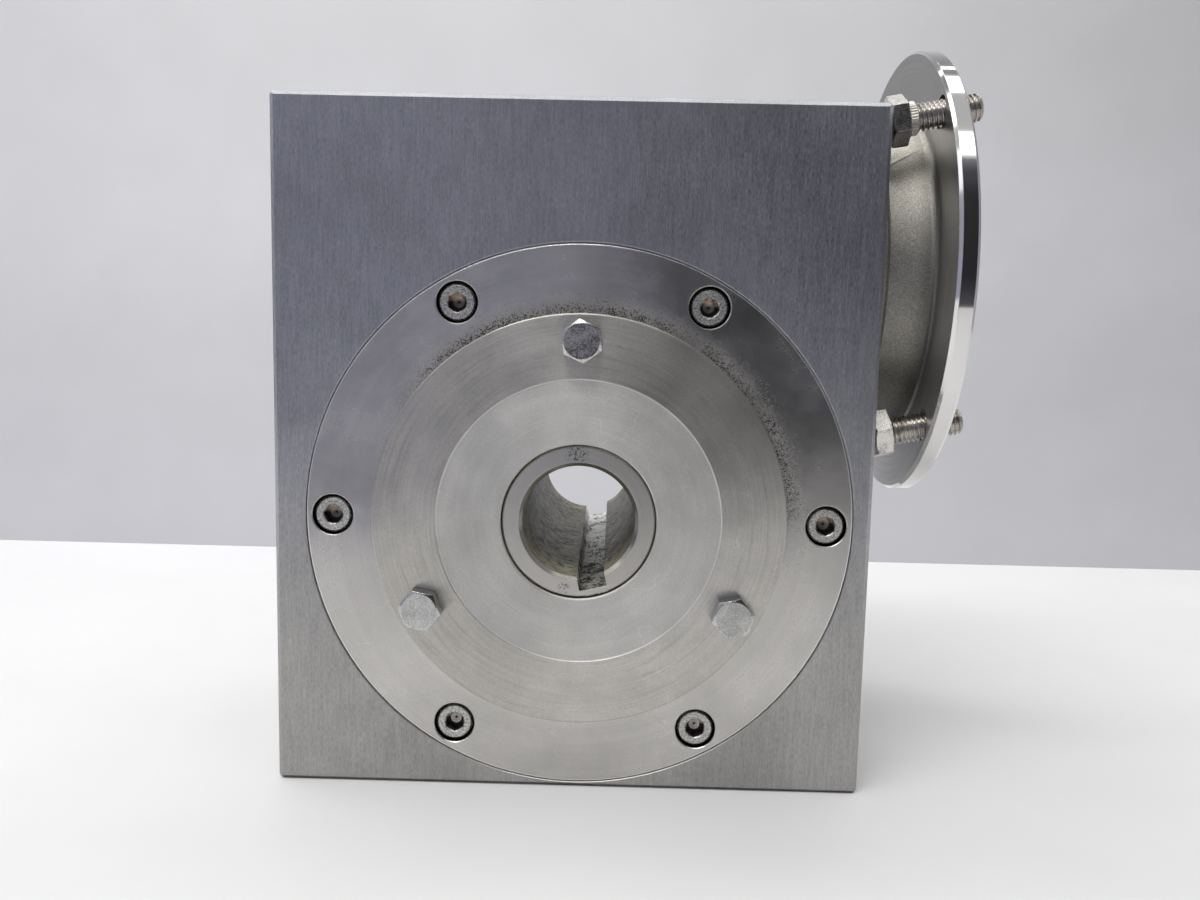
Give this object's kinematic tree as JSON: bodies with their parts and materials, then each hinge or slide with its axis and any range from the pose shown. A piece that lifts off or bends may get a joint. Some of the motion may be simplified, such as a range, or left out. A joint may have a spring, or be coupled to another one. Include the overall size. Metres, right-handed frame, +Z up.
{
  "type": "worm gearbox",
  "caption": "Right-angle worm gearbox in a square-edged steel block, with a keyed hollow output shaft, bolted round covers and a C-face motor flange.",
  "frame": {"origin": "centre of the output bore, midway between the two covers", "axes": "+X towards the motor flange, -Y towards the front cover, +Z up from the base"},
  "size_m": [0.2358, 0.165, 0.2646],
  "materials": {
    "brushed_block": "fine vertical brushed grain, satin",
    "turned_steel": "fine lathe-turned face",
    "socket_screw_steel": "bright head with darkened socket",
    "black_oxide_steel": "dark oxide",
    "boss_bolt_steel": "mottled zinc plate",
    "motor_bolt_steel": "plain stainless",
    "collar_steel": "dull pale",
    "shaft_steel": "turned, tarnished bore",
    "cast_adapter": "blasted casting with a polished rim",
    "plug_steel": "machined",
    "bronze": "machined bronze",
    "hub_iron": "machined casting",
    "worm_steel": "ground",
    "cage_brass": "pressed",
    "seal_rubber": "matt",
    "ring_rubber": "matt",
    "gasket": "matt sheet",
    "bearing_steel": "ground",
    "spring_steel": "dark"
  },
  "bodies": {
    "housing": {"housing": "brushed_block", "front_cover": "turned_steel", "rear_cover": "turned_steel", "front_cover_screws": "socket_screw_steel", "rear_cover_screws": "socket_screw_steel", "front_boss_bolts": "boss_bolt_steel", "front_cover_seal": "ring_rubber", "rear_cover_seal": "ring_rubber", "front_bearing_outer": "bearing_steel", "front_bearing_balls": "bearing_steel", "front_bearing_cage": "cage_brass", "rear_bearing_outer": "bearing_steel", "rear_bearing_balls": "bearing_steel", "rear_bearing_cage": "cage_brass", "front_shaft_seal": "seal_rubber", "rear_shaft_seal": "seal_rubber", "input_bearing_outer": "bearing_steel", "input_bearing_balls": "bearing_steel", "input_bearing_cage": "cage_brass", "tail_bearing_outer": "bearing_steel", "tail_bearing_balls": "bearing_steel", "tail_bearing_cage": "cage_brass", "input_seal": "seal_rubber", "worm_bearing_rings": "spring_steel", "tail_cap": "turned_steel", "tail_cap_screws": "socket_screw_steel", "tail_cap_seal": "ring_rubber", "motor_adapter": "cast_adapter", "adapter_screws": "black_oxide_steel", "adapter_gasket": "gasket", "motor_bolts": "motor_bolt_steel", "motor_bolt_collars": "collar_steel", "oil_plugs": "plug_steel"},
    "output": {"output_shaft": "shaft_steel", "wheel_key": "spring_steel", "wheel_hub": "hub_iron", "worm_wheel": "bronze", "wheel_spacer": "spring_steel", "output_circlips": "spring_steel", "front_bearing_inner": "bearing_steel", "rear_bearing_inner": "bearing_steel"},
    "worm": {"worm_shaft": "worm_steel", "input_bearing_inner": "bearing_steel", "tail_bearing_inner": "bearing_steel", "worm_circlip": "spring_steel"}
  },
  "joints": [
    {"name": "output_spin", "type": "hinge", "parent": "housing", "child": "output", "pos_m": [0, 0, 0], "axis": [0, 1, 0], "continuous": true},
    {"name": "worm_spin", "type": "hinge", "parent": "housing", "child": "worm", "pos_m": [0, 0, 0.087], "axis": [1, 0, 0], "continuous": true}
  ],
  "couplings": [
    {"joint": "worm_spin", "follows": "output_spin", "ratio": -30}
  ]
}
